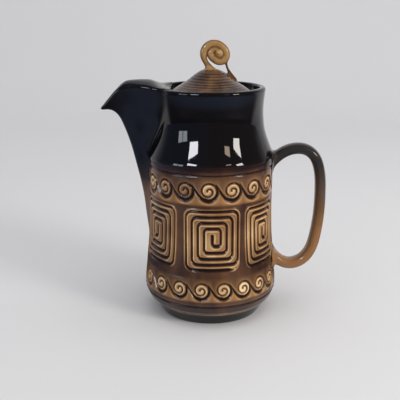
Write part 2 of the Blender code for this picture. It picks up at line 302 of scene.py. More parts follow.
def skin(field, low, high, cell):
    """Points, quads and normals of the surface of field, which is negative inside the solid."""
    low = np.array(low, float)
    block = 4                      # steps in one block of the first, coarse pass
    shape = [int(math.ceil((b - a) / cell / block)) * block for a, b in zip(low, high)]
    middles = [a + cell * block * (np.arange(n // block) + 0.5) for a, n in zip(low, shape)]
    grid = np.stack(np.meshgrid(*middles, indexing="ij"), axis=-1)
    values = field(grid.reshape(-1, 3)).reshape(grid.shape[:3])
    for axis in range(3):
        values = np.repeat(values, block, axis)
    near = np.abs(values) < 1.4 * block * cell
    values[near] = field(low + cell * np.argwhere(near))
    places, quads = crossings(values)
    points = low + places * cell
    for _ in range(2):
        points = settle(field, points, cell, 1)
        points = relax(points, quads)
    points = settle(field, points, cell, 2)
    normals = gradient(field, points)
    normals /= np.maximum(np.linalg.norm(normals, axis=1), 1e-9)[:, None]
    return points, quads, normals


def fine(cell):
    """The mesh step."""
    return cell


def add_object(name, data):
    """A new object in the scene."""
    made = bpy.data.objects.new(name, data)
    bpy.context.scene.collection.objects.link(made)
    return made


def make_piece(name, points, faces, normals, paint, body, nodes, layers=None):
    """A mesh object from millimetre points about the pot's axis."""
    mesh = bpy.data.meshes.new(name)
    mesh.from_pydata(((points + AXIS) * MM).tolist(), [], faces)
    mesh.polygons.foreach_set("use_smooth", [True] * len(mesh.polygons))
    for label, values in (layers or {}).items():
        data = mesh.attributes.new(label, "FLOAT", "POINT")
        data.data.foreach_set("value", values.astype(np.float32))
    mesh.update()
    if normals is not None:
        mesh.normals_split_custom_set_from_vertices(normals.tolist())
    mesh.materials.append(paint)
    piece = add_object(name, mesh)
    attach(piece, body)
    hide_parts(*nodes)
    return piece


# ---------------------------------------------------------------- the pot's outline

# Outer radius at rising heights: foot and belly, then neck and lip
BELLY = Spline(
    (CREASE, 13.4, 17.5, 22.5, 29, 36, 47, 57, 68, 80, 92, 106, 122, 134, 139.5),
    (50.5, 53.5, 56.6, BELLY_RADIUS, 57.7, 57.1, 56.0, 55.1, 54.1, 53.5, 53.2, 53.2, 53.4, 53.8, 54.0))
NECK = Spline(
    (138.9, 140.6, 142.7, 146.9, 152.4, 160.5, 168.5, 177, 187, RIM),
    (54.35, 53.5, 52.57, 50.83, 48.7, 46.05, 44.75, 44.25, 44.75, 46.1))


def outer(height):
    """The pot's outer radius at a height."""
    return smooth_min(NECK(height), BELLY(height), 0.6)


def body_field(points):
    """Distance to the plain pot: its outer wall, rounded rim and the seat's wall."""
    radius = np.hypot(points[:, 0], points[:, 1])
    height = points[:, 2]
    steep = (outer(height + 0.1) - outer(height - 0.1)) / 0.2
    outside = (radius - outer(height)) / np.sqrt(1 + steep ** 2)
    top = smooth_max(outside, height - RIM, 2 * LIP_ROUND)
    seat = smooth_max(top, SEAT_RADIUS - radius, LIP_ROUND)
    return np.where(height > SEAT_HEIGHT - 4, seat, outside)


def arc_points(across, up, radius, angles):
    """Points of an arc about a centre, at angles in degrees from the level."""
    return [(across + radius * math.cos(math.radians(angle)), up + radius * math.sin(math.radians(angle)))
            for angle in angles]


def rim_profile():
    """The seat's wall and the rounded lip, as radius and height."""
    inner_round = 1.6
    lip = float(outer(RIM - LIP_ROUND))
    points = [(SEAT_RADIUS, SEAT_HEIGHT), (SEAT_RADIUS, RIM - LIP_ROUND)]
    points += arc_points(SEAT_RADIUS + inner_round, RIM - inner_round, inner_round, np.linspace(165, 90, 6))
    points += arc_points(lip - LIP_ROUND, RIM - LIP_ROUND, LIP_ROUND, np.linspace(90, 0, 8))
    return points


def outline():
    """The whole section as radius and height, from the floor's middle to the foot's middle."""
    inner = [(0, 7.5), (20, 7.5), (38, 7.6), (44, 8.6), (48, 11.5), (51, 17)]
    for height in np.arange(24, LEDGE_HEIGHT - 4, 6):
        inner.append((float(outer(height)) - WALL, float(height)))
    inner += [(LEDGE_RADIUS + 1, LEDGE_HEIGHT - 0.6), (LEDGE_RADIUS, LEDGE_HEIGHT + 0.4),
              (LEDGE_RADIUS, SEAT_HEIGHT - 0.8), (LEDGE_RADIUS + 0.8, SEAT_HEIGHT),
              (SEAT_RADIUS - 0.4, SEAT_HEIGHT)]
    side = rim_profile()[1:]
    for height in np.arange(RIM - LIP_ROUND - 1.5, RELIEF_HIGH, -1.5):
        side.append((float(outer(height)), float(height)))
    relief = [(float(outer(height)), float(height)) for height in
              np.arange(RELIEF_HIGH, RELIEF_LOW, -ROW)]
    foot = [(float(outer(height)), float(height)) for height in np.arange(RELIEF_LOW, CREASE, -0.8)]
    foot += [(50.1, CREASE - 0.2), (49.2, 9.4), (48.1, 7.2), (46.4, 3.8), (44.9, 1.4), (44.3, 0.4),
             (FOOT_RADIUS, 0.0), (40.5, 0.0), (FOOT_INNER + 0.6, 0.0), (FOOT_INNER, 0.5),
             (FOOT_INNER - 1.4, FOOT_RECESS - 0.3), (FOOT_INNER - 2.4, FOOT_RECESS),
             (20, FOOT_RECESS), (0, FOOT_RECESS)]
    return np.array(inner + side), np.array(relief), np.array(foot)


# ---------------------------------------------------------------- the relief

def rounded(corners):
    """Points close together along straight runs between corners, each corner an arc."""
    step = 0.35
    points = [np.array(corners[0], float)]
    for before, corner, after in zip(corners, corners[1:], corners[2:]):
        before, corner, after = (np.array(p, float) for p in (before, corner, after))
        into = (corner - before) / np.linalg.norm(corner - before)
        out = (after - corner) / np.linalg.norm(after - corner)
        turn = 1.9 + 0.11 * np.linalg.norm(corner)
        turn = min(turn, 0.5 * np.linalg.norm(corner - before), 0.5 * np.linalg.norm(after - corner))
        centre = corner - into * turn + out * turn
        for angle in np.linspace(0, math.pi / 2, 9):
            points.append(centre - out * turn * math.cos(angle) + into * turn * math.sin(angle))
    points.append(np.array(corners[-1], float))
    line = [points[0]]
    for start, end in zip(points, points[1:]):
        count = max(1, int(np.linalg.norm(end - start) / step))
        line += [start + (end - start) * (i + 1) / count for i in range(count)]
    return np.array(line)


def square_spiral():
    """The groove of one square panel from its inner end outwards, and its half width there."""
    corners = [(0.2, 3.6)]
    across = 0.2
    for turn in range(4):
        right, top, left = 7.2 + 4.95 * turn, 9.5 + 4.78 * turn, -6.6 - 5.13 * turn
        bottom = -5.3 - 5.85 * turn + 0.19 * turn ** 2
        corners += [(across, bottom), (right, bottom), (right, top), (left, top)]
        across = left
    foot = -25.7
    corners += [(across, foot), (18.4, foot)]
    points = rounded(corners)
    way = np.gradient(points, axis=0)
    way /= np.linalg.norm(way, axis=1)[:, None]
    level = way[:, 0] ** 2
    half = 0.78 * (1 - level) + np.where(way[:, 0] > 0, 1.35, 1.2) * level
    steps = np.concatenate(([0.0], np.cumsum(np.linalg.norm(np.diff(points, axis=0), axis=1))))
    left = steps[-1] - steps
    half = half + 0.45 * (1 - ramp(steps, 2, 14))
    half *= 1 - 0.25 * ramp(left, 45, 70) * (1 - ramp(left, 90, 110))
    half = half + 0.3 * (1 - ramp(left, 22, 34))
    half *= ramp(left, -1.5, 6)
    return points, half


def scroll():
    """The groove of one running scroll and its half width, from the eye outwards."""
    radii = Spline(np.arange(8) * 90, (1.0, 2.0, 3.3, 4.3, 5.6, 6.4, 7.2, 8.2))
    angles = np.arange(0, 631, 5)
    spiral = [(-radii(a) * math.cos(math.radians(a)), radii(a) * math.sin(math.radians(a)))
              for a in angles]
    tail = Spline((0, 1, 2, 3, 4), ((0, -8.2), (-5.0, -6.6), (-8.6, -2.9), (-11.9, 2.0), (-13.8, 5.5)))
    tail_places = np.linspace(0.05, 4, 70)
    widths = Spline((0, 360, 450, 540, 600, 640), (0.55, 0.62, 0.7, 1.0, 1.6, 1.9))
    tail_widths = Spline((0, 0.6, 1.2, 2, 3, 4), (1.9, 1.8, 1.4, 0.95, 0.7, 0.3))
    points = np.array(spiral + [tuple(tail(t)) for t in tail_places])
    half = np.concatenate((widths(angles), tail_widths(tail_places)))
    return points, half


def depth_map(points, half, low, high, step=0.25):
    """Distance past the groove's side on a grid; negative in the groove."""
    across = np.arange(low[0], high[0], step)
    up = np.arange(low[1], high[1], step)
    grid = np.stack(np.meshgrid(across, up, indexing="ij"), axis=-1).reshape(-1, 2)
    best = np.empty(len(grid))
    for start in range(0, len(grid), 4000):
        part = grid[start:start + 4000]
        gaps = np.linalg.norm(part[:, None, :] - points[None, :, :], axis=-1) - half
        best[start:start + 4000] = gaps.min(1)
    return across, up, best.reshape(len(across), len(up))


def read_map(chart, u, v, outside=9.0):
    """The chart's value at u, v; far away beyond its edges."""
    across, up, values = chart
    a = (u - across[0]) / (across[1] - across[0])
    b = (v - up[0]) / (up[1] - up[0])
    good = (a >= 0) & (b >= 0) & (a < len(across) - 1.001) & (b < len(up) - 1.001)
    i = np.clip(a, 0, len(across) - 1.001).astype(int)
    j = np.clip(b, 0, len(up) - 1.001).astype(int)
    s, t = a - i, b - j
    value = (values[i, j] * (1 - s) * (1 - t) + values[i + 1, j] * s * (1 - t)
             + values[i, j + 1] * (1 - s) * t + values[i + 1, j + 1] * s * t)
    return np.where(good, value, outside)


def around(angle, centre):
    """Signed degrees from centre to angle, the short way round."""
    return (angle - centre + 180) % 360 - 180


def band_angles_high():
    """Where the upper scrolls stand, in degrees: nine on each side."""
    return [side - 1.8 + 21.5 * k for side in (0, 180) for k in range(-4, 5)]


def band_angles_low():
    """Where the lower scrolls stand: eight on each side, closer together as the angle grows."""
    return [side - 67.8 + 20.9 * k - 0.28 * k * k for side in (0, 180) for k in range(8)]


def panels_at(angle, height, arc):
    """Distance past the square grooves, past the pads' edges, and the height within the pad."""
    chart = depth_map(*square_spiral(), (-25, -29), (25, 29))
    groove = np.full(angle.shape, 9.0)
    pad = groove.copy()
    level = np.zeros(angle.shape)
    middle = (PAD_HIGH + PAD_LOW) / 2
    tall = (PAD_HIGH - PAD_LOW) / 2
    for side in (0, 180):
        for centre, centre_height, width, hand in PANELS:
            u = around(angle, side + centre) * arc * hand / width
            v = height - centre_height
            groove = np.minimum(groove, read_map(chart, u, v))
            over = np.hypot(np.maximum(np.abs(u) - (PAD_HALF - PAD_CORNER), 0),
                            np.maximum(np.abs(v - middle) - (tall - PAD_CORNER), 0))
            here = over - PAD_CORNER
            level = np.where(here < pad, v, level)
            pad = np.minimum(pad, here)
    return groove, pad, level


def bands_at(angle, height, arc):
    """Distance past the scrolls' grooves and past the edges of their discs."""
    chart = depth_map(*scroll(), (-17, -12), (12, 12))
    groove = np.full(angle.shape, 9.0)
    disc = groove.copy()
    rows = ((BAND_HIGH, 1.0, band_angles_high()), (BAND_LOW, LOW_SCROLL, band_angles_low()))
    for level, size, angles in rows:
        for centre in angles:
            u = around(angle, centre) * arc / size
            v = (height - level) / size
            groove = np.minimum(groove, size * read_map(chart, u, v))
            disc = np.minimum(disc, np.hypot(u, v) - DISC_RADIUS)
    return groove, disc


def runs_thin_and_lit_side(groove):
    """High below a groove, where the glaze has run thin, and to its right, a painted highlight as if lit
    from the right; low on its other sides.
    """
    down, right = np.gradient(groove)
    down = down / ROW
    right = right / (BELLY_RADIUS * math.tau / COLUMNS)
    size = np.maximum(np.hypot(down, right), 0.2)
    return np.clip(0.5 + 0.5 * (down + right) / size, 0.2, 1)


def turned_lines(height, spread):
    """What the turned grooves and bands add to the rise and the thinness, and what share stays unstained."""
    shoulder = np.exp(-((height - SHOULDER_GROOVE) / 0.7) ** 2)
    base = np.exp(-((height - BASE_GROOVE) / 0.7) ** 2)
    shoulder_band = ramp(height, SHOULDER_GROOVE, SHOULDER_GROOVE + 1.6)
    base_band = 1 - ramp(height, BASE_GROOVE - 1.6, BASE_GROOVE)
    rise = 0.35 * shoulder_band * spread - 0.8 * shoulder - 0.7 * base
    thin = 0.10 * np.exp(-((height - SHOULDER_GROOVE - 1.9) / 0.8) ** 2)
    thin = thin - 0.10 * base_band - 0.13 * shoulder_band
    return rise, thin, (1 - 0.8 * shoulder) * (1 - 0.7 * base)


def relief(angle, height, radius):
    """Rise of the relief, how thin the glaze lies on it, with painted highlight right of the grooves, and
    how orange it is, for angles in degrees.
    """
    arc = np.radians(1) * radius
    panel_groove, pad, pad_level = panels_at(angle, height, arc)
    band_groove, disc = bands_at(angle, height, arc)
    side_gap = np.minimum(np.abs(around(angle, 90)), np.abs(around(angle, -90)))
    spread = ramp(side_gap, 5.5, 9.0)
    groove = np.minimum(panel_groove, band_groove)
    cut = 1 - ramp(groove, -0.5, 0.45)
    stain = 1 - ramp(groove, -0.7, 0.75)
    in_pad = 1 - ramp(pad, -0.8, 0.9)
    pad_edge = np.exp(-((pad + 0.5) / 0.55) ** 2) * ramp(pad_level, -24, -17)
    low_band = between(height, *LOW_EDGES)
    in_band = np.maximum(between(height, *HIGH_EDGES), low_band)
    inside_disc = (1 - ramp(disc, -0.8, 0.6)) * in_band
    # Pale bead by each groove: thin glaze below it, and painted highlight to its right.
    bead = np.exp(-((groove - 0.95) / 0.45) ** 2) * runs_thin_and_lit_side(groove) * np.maximum(in_pad, in_band)
    rise = (-GROOVE_DEPTH * cut + 0.10 * bead + 0.25 * pad_edge) * spread
    rise = rise - GROUND_DEPTH * (1 - in_pad) * (1 - 0.6 * in_band) * spread
    below = np.where(height > 80, ramp(-height, -118, -109), ramp(-height, -35, -27))
    flame = (0.35 + 0.65 * below) * in_band * (1 - inside_disc) * np.exp(-np.maximum(groove - 0.9, 0) / 4.0)
    flame = flame * (1 - stain) * spread
    thin = 0.28 + 0.21 * in_pad * spread - 0.08 * (1 - in_pad) * (1 - in_band)
    thin = thin - 0.11 * (1 - below) * in_band * (1 - inside_disc)
    thin = thin + (0.22 + 0.16 * low_band) * inside_disc * spread
    thin = thin + 0.42 * np.maximum(bead, 0.7 * pad_edge) * spread
    line_rise, line_thin, unstained = turned_lines(height, spread)
    thin = (thin + line_thin) * (1 - 0.95 * stain * spread) * unstained
    fade = between(height, RELIEF_LOW, RELIEF_LOW + 3, RELIEF_HIGH - 3, RELIEF_HIGH)
    return (rise + line_rise) * fade, np.clip(thin, 0, 1), flame


# ---------------------------------------------------------------- glazes

def new_paint(name, rough):
    """A material, its node tree and its shader, with a glaze's index of refraction."""
    paint = bpy.data.materials.new(name)
    paint.use_nodes = True
    tree = paint.node_tree
    shader = tree.nodes["Principled BSDF"]
    shader.inputs["Roughness"].default_value = rough
    shader.inputs["IOR"].default_value = GLAZE_IOR
    return paint, tree, shader


def node(tree, kind, **settings):
    made = tree.nodes.new(kind)
    for key, value in settings.items():
        setattr(made, key, value)
    return made


def noise(tree, place, scale, detail=3.0, stretch=None):
    made = node(tree, "ShaderNodeTexNoise")
    made.inputs["Scale"].default_value = scale
    made.inputs["Detail"].default_value = detail
    if stretch:
        mapping = node(tree, "ShaderNodeMapping")
        mapping.inputs["Scale"].default_value = stretch
        tree.links.new(place, mapping.inputs["Vector"])
        place = mapping.outputs["Vector"]
    tree.links.new(place, made.inputs["Vector"])
    return made.outputs["Fac"]


def layer(tree, name):
    """The value that the mesh carries under this name."""
    return node(tree, "ShaderNodeAttribute", attribute_name=name).outputs["Fac"]


def position(tree):
    return node(tree, "ShaderNodeTexCoord").outputs["Object"]


def math_node(tree, operation, a, b, clamp=False):
    made = node(tree, "ShaderNodeMath", operation=operation, use_clamp=clamp)
    for socket, value in zip(made.inputs, (a, b)):
        if isinstance(value, (int, float)):
            socket.default_value = value
        else:
            tree.links.new(value, socket)
    return made.outputs["Value"]


def times(tree, a, b, clamp=False):
    return math_node(tree, "MULTIPLY", a, b, clamp)


def blots(tree, place, scale, detail, stretch=None):
    """Soft blots about zero."""
    return math_node(tree, "SUBTRACT", noise(tree, place, scale, detail, stretch), 0.5)


def mottled(tree, place, value, scale, detail, amount):
    """A value made uneven by soft blots."""
    return math_node(tree, "ADD", value, times(tree, blots(tree, place, scale, detail), amount))


def mix(tree, share, a, b):
    """Colour a where share is 0 and b where it is 1."""
    made = node(tree, "ShaderNodeMix", data_type="RGBA")
    for socket, value in ((made.inputs["Factor"], share), (made.inputs[6], a), (made.inputs[7], b)):
        if isinstance(value, (int, float)):
            socket.default_value = value
        elif isinstance(value, tuple):
            socket.default_value = (*value, 1.0)
        else:
            tree.links.new(value, socket)
    return made.outputs[2]


def colours(tree, share, stops):
    made = node(tree, "ShaderNodeValToRGB")
    for place, colour in stops[1:-1]:
        made.color_ramp.elements.new(place)
    elements = sorted(made.color_ramp.elements, key=lambda element: element.position)
    for element, (place, colour) in zip(elements, stops):
        element.position = place
        element.color = (*colour, 1.0)
    tree.links.new(share, made.inputs["Fac"])
    return made.outputs["Color"]


def tone(red, green, blue):
    """A colour as the eye reads it, 0 to 255, turned into the light values that shaders use."""
    values = []
    for part in (red, green, blue):
        part = part / 255
        values.append(part / 12.92 if part <= 0.04045 else ((part + 0.055) / 1.055) ** 2.4)
    return tuple(values)


def ramp_node(tree, value, low, high):
    """0 where value is low and 1 where it is high, smooth between."""
    made = node(tree, "ShaderNodeMapRange", clamp=True, interpolation_type="SMOOTHSTEP")
    made.inputs["From Min"].default_value = low
    made.inputs["From Max"].default_value = high
    tree.links.new(value, made.inputs["Value"])
    return made.outputs["Result"]


def height_share(tree, place, low, high):
    """0 at height low and 1 at height high, in metres above the table."""
    split = node(tree, "ShaderNodeSeparateXYZ")
    tree.links.new(place, split.inputs["Vector"])
    return ramp_node(tree, split.outputs["Z"], low, high)


def ripple(tree, shader, place, scale=160.0):
    """The faint unevenness that a poured glaze has."""
    bump = node(tree, "ShaderNodeBump")
    bump.inputs["Strength"].default_value = 0.05
    bump.inputs["Distance"].default_value = 0.0004
    tree.links.new(noise(tree, place, scale, 2.0), bump.inputs["Height"])
    tree.links.new(bump.outputs["Normal"], shader.inputs["Normal"])


BLACK = tone(13, 12, 15)


def plain_glaze(name, rough, source, mottling, stops):
    """A glaze whose colour follows a mottled value: a layer of the mesh, or height between two levels."""
    paint, tree, shader = new_paint(name, rough)
    place = position(tree)
    value = layer(tree, source) if isinstance(source, str) else height_share(tree, place, *source)
    value = mottled(tree, place, value, *mottling)
    tree.links.new(colours(tree, value, stops), shader.inputs["Base Color"])
    ripple(tree, shader, place)
    return paint


def spout_glaze():
    """Black above, thinning to brown down by the belly; the pale brown at the bottom is brown glaze
    lightened by painted sheen.
    """
    return plain_glaze("spout_glaze", 0.04, (0.100, 0.138), (60.0, 4.0, 0.3), (
        # Pale brown at the bottom: brown glaze lightened by painted sheen.
        (0.0, tone(126, 98, 82)),
        (0.5, tone(56, 42, 37)),
        (1.0, BLACK)))


def body_glaze():
    """Brown honey glaze: pooled dark in the grooves, thin and pale on every raised edge, paler still right
    of the grooves as painted highlight.
    """
    paint, tree, shader = new_paint("body_glaze", 0.1)
    place = position(tree)
    thin = layer(tree, "thin")
    warm = layer(tree, "warm")
    dark = layer(tree, "dark")
    fine_cloud = blots(tree, place, 75.0, 5.0, (1.0, 1.0, 0.4))
    wide_cloud = blots(tree, place, 26.0, 2.0)
    shift = math_node(tree, "ADD", times(tree, fine_cloud, 0.55), times(tree, wide_cloud, 0.85))
    shift = times(tree, shift, times(tree, thin, 2.4, clamp=True))
    level = math_node(tree, "ADD", thin, shift, clamp=True)
    brown = colours(tree, level, (
        (0.0, tone(24, 11, 8)),
        (0.13, tone(54, 34, 26)),
        (0.28, tone(98, 68, 48)),
        (0.5, tone(146, 107, 70)),
        (0.7, tone(186, 146, 100)),
        (0.85, tone(218, 184, 134)),
        (1.0, tone(240, 216, 174))))
    streak = noise(tree, place, 70.0, 3.0, (1.0, 1.0, 0.12))
    streak = times(tree, math_node(tree, "SUBTRACT", streak, 0.52), 3.0, clamp=True)
    streak = times(tree, streak, times(tree, thin, 2.2, clamp=True))
    coloured = mix(tree, times(tree, streak, 0.6), brown, tone(150, 98, 52))
    coloured = mix(tree, times(tree, warm, 0.72), coloured, tone(192, 142, 88))
    coloured = mix(tree, dark, coloured, BLACK)
    tree.links.new(coloured, shader.inputs["Base Color"])
    gloss = math_node(tree, "SUBTRACT", 0.19, times(tree, dark, 0.16))
    tree.links.new(gloss, shader.inputs["Roughness"])
    ripple(tree, shader, place, 120.0)
    return paint


def handle_glaze():
    """Dark at the top, thinning to tan down at the belly."""
    return plain_glaze("handle_glaze", 0.08, (0.055, 0.142), (60.0, 4.0, 0.3), (
        (0.0, tone(148, 108, 72)),
        (0.45, tone(108, 80, 55)),
        (0.8, tone(68, 56, 46)),
        (1.0, tone(48, 45, 44))))


def lid_glaze():
    """Mottled brown, dark in the turned grooves."""
    return plain_glaze("lid_glaze", 0.09, "thin", (90.0, 5.0, 1.0), (
        (0.0, tone(22, 15, 14)),
        (0.3, tone(58, 42, 36)),
        (0.6, tone(104, 76, 52)),
        (1.0, tone(168, 130, 86))))


def finial_glaze():
    """Tan where the strand faces front and back and on its ball, dark brown along its edges and in its
    creases, as painted light and shade; dark brown too down at the lid.
    """
    return plain_glaze("finial_glaze", 0.08, "thin", (150.0, 4.0, 0.4), (
        (0.0, tone(50, 32, 22)),
        (0.3, tone(92, 64, 38)),
        (0.65, tone(146, 108, 64)),
        (1.0, tone(190, 152, 100))))


# ---------------------------------------------------------------- the pieces

def turned_ring(radius, height, count):
    """Points of a level ring, from the front towards the handle; its radius may vary round it."""
    turn = np.radians(np.arange(count) * 360 / count)
    return np.stack((radius * np.sin(turn), -radius * np.cos(turn), np.full(count, height)), axis=1)


def ring_faces(counts):
    """Faces between each ring and the next, for rings with these counts of points."""
    starts = np.concatenate(([0], np.cumsum(counts)))
    faces = []
    for ring in range(len(counts) - 1):
        faces += stitch(starts[ring], counts[ring], starts[ring + 1], counts[ring + 1])
    return faces


def ring_counts(inside, middle, foot):
    """Points of each ring: most on the relief, half as many by the rim and at the foot, fewest inside."""
    rim_rings = 70
    counts = [COLUMNS // 4] * (len(inside) - rim_rings) + [COLUMNS // 2] * rim_rings
    counts = np.array(counts + [COLUMNS] * len(middle) + [COLUMNS // 2] * len(foot))
    counts[0] = counts[-1] = 1
    return counts


def black_parts(points):
    """1 on the neck, under the crease and inside the pot, where the glaze is black; 0 on the belly."""
    height = points[:, 2]
    radius = np.hypot(points[:, 0], points[:, 1])
    dark = ramp(height, SHOULDER - 1.8, SHOULDER + 1.2)
    dark = np.maximum(dark, 1 - ramp(height, CREASE - 1.3, CREASE - 0.4))
    return np.where(radius < outer(height) - 3, 1.0, dark)


def make_pot_body():
    """The whole pot as one turned surface, with the relief pressed into its rows."""
    inside, middle, foot = outline()
    profile = np.concatenate((inside, middle, foot))
    counts = ring_counts(inside, middle, foot)
    angles = np.arange(COLUMNS) * 360 / COLUMNS
    grid_angle = np.tile(angles, (len(middle), 1))
    grid_height = np.repeat(middle[:, 1:], COLUMNS, axis=1)
    grid_radius = np.repeat(middle[:, :1], COLUMNS, axis=1)
    rise, thin, warm = relief(grid_angle, grid_height, grid_radius)
    points, thins, warms = [], [], []
    for ring, ((radius, height), count) in enumerate(zip(profile, counts)):
        row = ring - len(inside)
        if 0 <= row < len(middle):
            radius = radius + rise[row]
            thins.append(thin[row])
            warms.append(warm[row])
        else:
            thins.append(np.full(count, 0.3))
            warms.append(np.zeros(count))
        points.append(turned_ring(radius, height, count))
    points = np.concatenate(points)
    thin = np.concatenate(thins) + 0.35 * np.exp(-((points[:, 2] - CREASE - 0.1) / 0.5) ** 2)
    layers = {"thin": thin, "warm": np.concatenate(warms), "dark": black_parts(points)}
    make_piece("glazed_pot", points, ring_faces(counts), None, body_glaze(), "pot", ["pot_body"],
               layers)


def stitch(start, count, next_start, next_count):
    """Faces between two rings, whose counts are equal, or one twice the other, or one is a point."""
    if next_count < count:
        return [face[::-1] for face in stitch(next_start, next_count, start, count)]
    if count == 1:
        return [(start, next_start + i, next_start + (i + 1) % next_count) for i in range(next_count)]
    faces = []
    for i in range(count):
        j = (i + 1) % count
        if count == next_count:
            faces.append((start + i, next_start + i, next_start + j, start + j))
        else:
            a, b, c = 2 * i, 2 * i + 1, (2 * i + 2) % next_count
            faces.append((start + i, next_start + a, next_start + b))
            faces.append((start + i, next_start + b, start + j))
            faces.append((start + j, next_start + b, next_start + c))
    return faces


# Keel of the spout and underside of its beak in the XZ plane, as distance from the axis and height
KEEL = Path(((50, 60), (53.6, 71), (55.9, 83), (57.7, 99), (60.6, 115.6), (64.4, 131.8), (68.5, 147.7),
             (71.9, 158), (74.4, 164.3), (77.3, 170.4), (80.9, 174.7), (85.4, 176.9), (91.2, 176.9),
             (98, 177.2)), [1] * 14)
# The spout's half width at the wall, and how far from the axis it is measured, at rising heights
SPOUT_LEVELS = (60, 86, 104, 120, 140, 150, 160, 170, 180, 196, 210)
SPOUT_HALF = Spline(SPOUT_LEVELS, (4.4, 4.8, 5.4, 6.0, 6.6, 9.0, 12.5, 15.6, 17.6, 20.0, 21.2))
SPOUT_FOOT = Spline(SPOUT_LEVELS, (53.5, 53.2, 53, 53, 53.3, 49.5, 44.5, 42.8, 41.5, 41.3, 41.3))
# The hood's height along its crest and along its sides, at rising distances from the axis
HOOD_CREST = Spline((36, 42, 44, 47, 50.5, 56, 64, 71.4, 76, 80),
                    (195.5, 197.4, 198.8, 200.8, 202.2, 202.6, 202.4, 201.3, 199.4, 196.5))
HOOD_SIDE = Spline((36, 42, 46, 52, 62, 71, 80), (195.0, 196.2, 197.2, 197.9, 197.4, 195.8, 193.0))
SPOUT_WALL = 3.6
NOSE = 4.4                         # radius of the rounded keel
# Ends of the mouth's sloping cut, as distance from the axis and height
MOUTH_LOW = (93.3, 178.6)
MOUTH_HIGH = (78.2, 196.4)


def keel_depth(reach, height):
    """How deep a point of the XZ plane lies inside the keel line; negative outside it."""
    spots = np.stack((reach, height), axis=1)
    along, offset = KEEL.nearest(spots)
    way = KEEL.line.slope(along)
    side = way[:, 0] * offset[:, 1] - way[:, 1] * offset[:, 0]
    size = np.linalg.norm(offset, axis=1)
    return np.where(side > 0, size, -size)


def spout_frame(points):
    """Where points lie in the spout's level sections: reach behind the nose, its arms' lean and length."""
    reach, height = -points[:, 0], points[:, 2]
    depth = keel_depth(reach, height)
    half = SPOUT_HALF(height)
    run = np.maximum(depth + (reach - SPOUT_FOOT(height)), 8.0) - NOSE
    lean = np.arctan2(half, run) - np.arcsin(np.clip(NOSE / np.hypot(half, run), 0, 1))
    return depth - NOSE, lean, np.maximum(run, 1.0)


def spout_walls(points, section):
    """Distance to the spout's sides and keel."""
    across, height = np.abs(points[:, 1]), points[:, 2]
    x, lean, run = section
    along = x * np.cos(lean) + across * np.sin(lean)
    arm = -x * np.sin(lean) + across * np.cos(lean) - NOSE
    round_nose = np.hypot(x, across) - NOSE
    share = np.clip(along / run, 0, 1)
    hollow = 1.3 * ramp(height, 120, 165) * (4 * share * (1 - share)) ** 2
    return np.where(along < 0, round_nose, arm + hollow)


def spout_field(points):
    """Distance to the hollow spout, and to its outer side alone."""
    reach, across, height = -points[:, 0], np.abs(points[:, 1]), points[:, 2]
    section = spout_frame(points)
    walls = spout_walls(points, section)
    x, lean, _ = section
    width = np.maximum((NOSE + x * np.sin(lean)) / np.cos(lean), 4.0)
    near_top = np.clip(reach, 36, 80)
    side = HOOD_SIDE(near_top)
    crest = HOOD_CREST(near_top)
    hood = (height - side - (crest - side) * (1 - np.minimum(across / width, 1.5) ** 2)) * 0.85
    slope = (MOUTH_HIGH[1] - MOUTH_LOW[1]) / (MOUTH_LOW[0] - MOUTH_HIGH[0])
    mouth = ((reach - MOUTH_LOW[0]) * slope + (height - MOUTH_LOW[1])) / math.hypot(slope, 1)
    outer_side = smooth_max(smooth_max(walls, hood, 1.9), mouth, 2.8)
    duct = smooth_max(walls + SPOUT_WALL, hood + SPOUT_WALL, 3.0)
    duct = np.maximum(duct, 100 - height)
    return smooth_max(outer_side, -duct, 1.4), outer_side


def joined(points, shape, reach):
    """A shape that flows into the pot's wall with a fillet and ends just inside the wall."""
    wall = body_field(points)
    full, outer_side = shape(points)
    inner = 1.2
    skirt = np.maximum(smooth_min(full, wall, reach), -(wall + inner))
    return np.maximum(skirt, outer_side - 0.97 * reach) - 0.02


def spout_joined(points):
    fillet = 2.6 + 2.6 * ramp(points[:, 2], 140, 172)
    return joined(points, spout_field, fillet)


def make_spout():
    """The hollow beak spout with its hood, flowing into the neck and belly."""
    low = (-SPOUT_REACH - 2, -28, 60)
    high = (-34, 28, 206)
    points, quads, normals = skin(spout_joined, low, high, fine(0.65))
    make_piece("glazed_spout", points, quads.tolist(), normals, spout_glaze(), "pot",
               ["spout"])


# Middle line of the handle in the XZ plane, as distance from the axis and height
HANDLE = Path(((40, 122), (48, 129), (56, 136.2), (64, 141.6), (74, 144.2), (82.3, 142.8), (88.5, 138),
               (92.5, 130), (94.6, 120), (95.4, 105), (95.3, 92), (94.2, 78), (92.5, 66), (89.4, 54.5),
               (84.4, 46.2), (77, 41), (69.5, 39.8), (62, 42.4), (54, 49), (46, 56)), [1] * 20)
STRAP_HALF = 4.7
STRAP_WIDE = 7.3


def handle_field(points):
    """Distance to the strap, twice, as joined wants a shape and its outer side."""
    spots = points[:, (0, 2)]
    along, offset = HANDLE.nearest(spots, 160)
    size = np.linalg.norm(offset, axis=1)
    ends = np.maximum(1 - along / 30, 0) ** 2 + 0.6 * np.maximum(1 - (HANDLE.length - along) / 26, 0) ** 2
    half = STRAP_HALF * (1 + 0.5 * ends)
    wide = STRAP_WIDE * (1 + 0.5 * ends)
    power = 2.4
    share = ((size / half) ** power + (np.abs(points[:, 1]) / wide) ** power) ** (1 / power)
    shape = (share - 1) * half * 0.9
    return shape, shape


def handle_joined(points):
    return joined(points, handle_field, 4.0)


def make_handle():
    """The ear-shaped strap, thicker where it meets the wall."""
    low = (38, -14, 30)
    high = (HANDLE_REACH + 2, 14, 156)
    points, quads, normals = skin(handle_joined, low, high, fine(0.8))
    make_piece("glazed_handle", points, quads.tolist(), normals, handle_glaze(), "pot",
               ["handle"])


# Height of the lid's top at rising radii
LID_TOP = Spline((0, 8, 14.1, 20.5, 28.5, 36, LID_RADIUS - 0.9),
                 (LID_APEX, LID_APEX - 1.6, 206.5, 201.6, 196.5, 191.9, 189.6))


